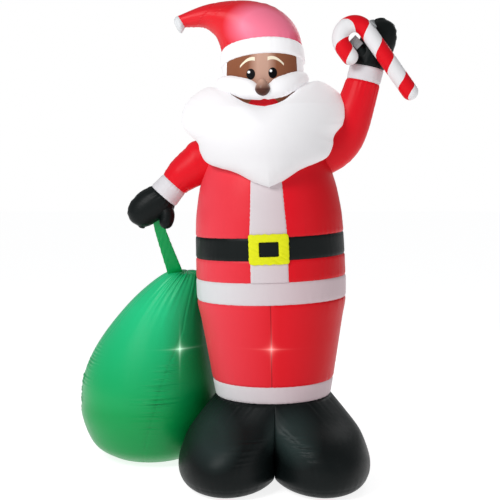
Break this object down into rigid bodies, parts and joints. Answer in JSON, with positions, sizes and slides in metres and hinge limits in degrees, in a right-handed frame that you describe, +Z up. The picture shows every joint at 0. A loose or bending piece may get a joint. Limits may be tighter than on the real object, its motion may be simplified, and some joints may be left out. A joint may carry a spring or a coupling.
{
  "type": "inflatable santa",
  "caption": "Tall inflatable Santa Claus for the lawn, waving a striped candy cane and holding a round green sack.",
  "frame": {"origin": "on the ground under the middle of the whole part's bounding box, sack and raised hand included", "axes": "+Z up; the figure's face and the buckle look along -Y; the sack is at -X and the raised hand with the cane at +X"},
  "size_m": [1.7728, 1.2422, 2.4427],
  "materials": {
    "red_cloth": "satin",
    "white_cloth": "satin",
    "black_cloth": "satin",
    "green_cloth": "satin",
    "yellow_cloth": "satin",
    "skin_cloth": "satin",
    "grey_cloth": "matte",
    "striped_cloth": "satin"
  },
  "bodies": {
    "root": {"trousers": "red_cloth", "coat_skirt": "red_cloth", "coat": "red_cloth", "lowered_sleeve": "red_cloth", "raised_sleeve": "red_cloth", "hat": "red_cloth", "trouser_band": "white_cloth", "coat_band": "white_cloth", "coat_strip": "white_cloth", "skirt_strip": "white_cloth", "lowered_cuff": "white_cloth", "raised_cuff": "white_cloth", "head": "white_cloth", "moustache": "white_cloth", "beard": "white_cloth", "hat_band": "white_cloth", "hat_tip": "white_cloth", "boot_left": "black_cloth", "boot_right": "black_cloth", "belt": "black_cloth", "lowered_mitten": "black_cloth", "raised_mitten": "black_cloth", "sack": "green_cloth", "sack_strap": "green_cloth", "buckle": "yellow_cloth", "face": "skin_cloth", "nose": "skin_cloth", "finger_tab": "grey_cloth", "thumb_tab": "grey_cloth", "candy_cane": "striped_cloth"}
  },
  "joints": []
}
